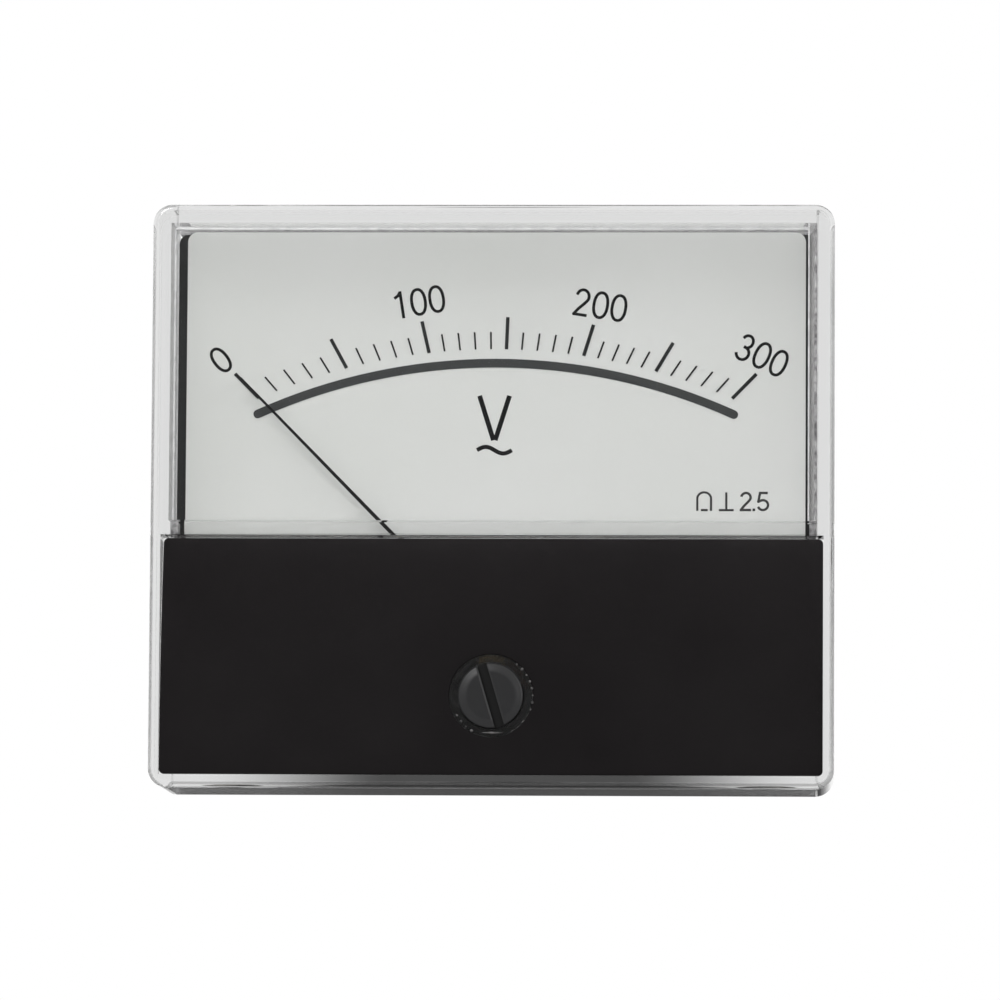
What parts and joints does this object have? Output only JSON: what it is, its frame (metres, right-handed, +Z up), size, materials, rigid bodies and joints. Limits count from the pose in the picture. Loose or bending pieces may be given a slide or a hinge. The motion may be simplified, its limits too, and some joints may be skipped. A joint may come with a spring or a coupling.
{
  "type": "analog panel meter",
  "caption": "Flush-mounting moving-coil panel voltmeter: clear rectangular cover over a dial with a needle, black mask with a zero screw, round rear case with studs and screw terminals.",
  "frame": {"origin": "where the axis of the round case meets the front of the panel, which the studs and the rear of the flange define", "axes": "+Y to the rear, along the case and the studs; +Z up the dial; +X to the right as seen from the front"},
  "size_m": [0.07, 0.0563, 0.06],
  "materials": {
    "clear_plastic": "clear moulded polystyrene, glossy",
    "mask_black": "matte black, fine texture",
    "case_black": "moulded black, satin",
    "dial_white": "painted pale grey-green white, matte",
    "print_black": "printed ink",
    "pointer_black": "painted black",
    "plated_steel": "zinc plated",
    "soft_iron": "plated soft iron",
    "magnet": "ground sintered alloy",
    "brass": "turned",
    "spring_bronze": "bright strip",
    "aluminium": "satin",
    "copper_winding": "enamelled wire",
    "board_green": "laminate with solder mask",
    "component_black": "moulded",
    "resistor_body": "lacquered film resistor",
    "lead_insulation": "insulated wire"
  },
  "bodies": {
    "case": {"front_cover": "clear_plastic", "black_mask": "mask_black", "base_case": "case_black", "scale_plate": "dial_white", "scale_print": "print_black", "dial_screw_left": "plated_steel", "dial_screw_right": "plated_steel", "cover_screw_left": "plated_steel", "cover_screw_right": "plated_steel", "bridge_screw_left": "plated_steel", "bridge_screw_right": "plated_steel", "mounting_stud_1": "plated_steel", "mounting_stud_2": "plated_steel", "mounting_stud_3": "plated_steel", "mounting_stud_4": "plated_steel", "stud_nut_1": "plated_steel", "stud_nut_2": "plated_steel", "stud_nut_3": "plated_steel", "stud_nut_4": "plated_steel", "stud_washer_1": "plated_steel", "stud_washer_2": "plated_steel", "stud_washer_3": "plated_steel", "stud_washer_4": "plated_steel", "yoke_ring": "soft_iron", "core_pin_left": "soft_iron", "core_pin_right": "soft_iron", "core_magnet": "magnet", "movement_pillar_left": "brass", "movement_pillar_right": "brass", "front_jewel_screw": "brass", "rear_jewel_screw": "brass", "terminal_stud_left": "brass", "terminal_stud_right": "brass", "terminal_nut_left": "brass", "terminal_nut_right": "brass", "terminal_washer_left": "brass", "terminal_washer_right": "brass", "rear_spring_tag": "brass", "front_bridge": "aluminium", "rear_bridge": "aluminium", "circuit_board": "board_green", "rectifier": "component_black", "series_resistor": "resistor_body", "frame_lead": "lead_insulation", "spring_lead": "lead_insulation"},
    "movement": {"coil_former": "aluminium", "coil_winding": "copper_winding", "front_bush": "brass", "rear_bush": "brass", "front_pivot": "plated_steel", "rear_pivot": "plated_steel", "balance_cross": "aluminium", "tail_weight": "plated_steel", "side_weight_left": "plated_steel", "side_weight_right": "plated_steel", "pointer": "pointer_black", "front_hairspring": "spring_bronze", "rear_hairspring": "spring_bronze"},
    "zero_screw": {"zero_screw": "mask_black"},
    "zero_lever": {"zero_lever": "brass"}
  },
  "joints": [
    {"name": "pointer_swing", "type": "hinge", "parent": "case", "child": "movement", "pos_m": [0, 0, -0.0142], "axis": [0, 1, 0], "range_deg": [-3, 93], "stiffness_Nm_per_rad": 0.00003, "deforming": ["front_hairspring", "rear_hairspring"]},
    {"name": "zero_screw_turn", "type": "hinge", "parent": "case", "child": "zero_screw", "pos_m": [0, 0, -0.0205], "axis": [0, 1, 0], "range_deg": [-30, 30]},
    {"name": "zero_lever_turn", "type": "hinge", "parent": "case", "child": "zero_lever", "pos_m": [0, 0, -0.0142], "axis": [0, 1, 0], "range_deg": [-6.2, 6.2]}
  ],
  "couplings": [
    {"joint": "zero_lever_turn", "follows": "zero_screw_turn", "ratio": -0.2}
  ]
}
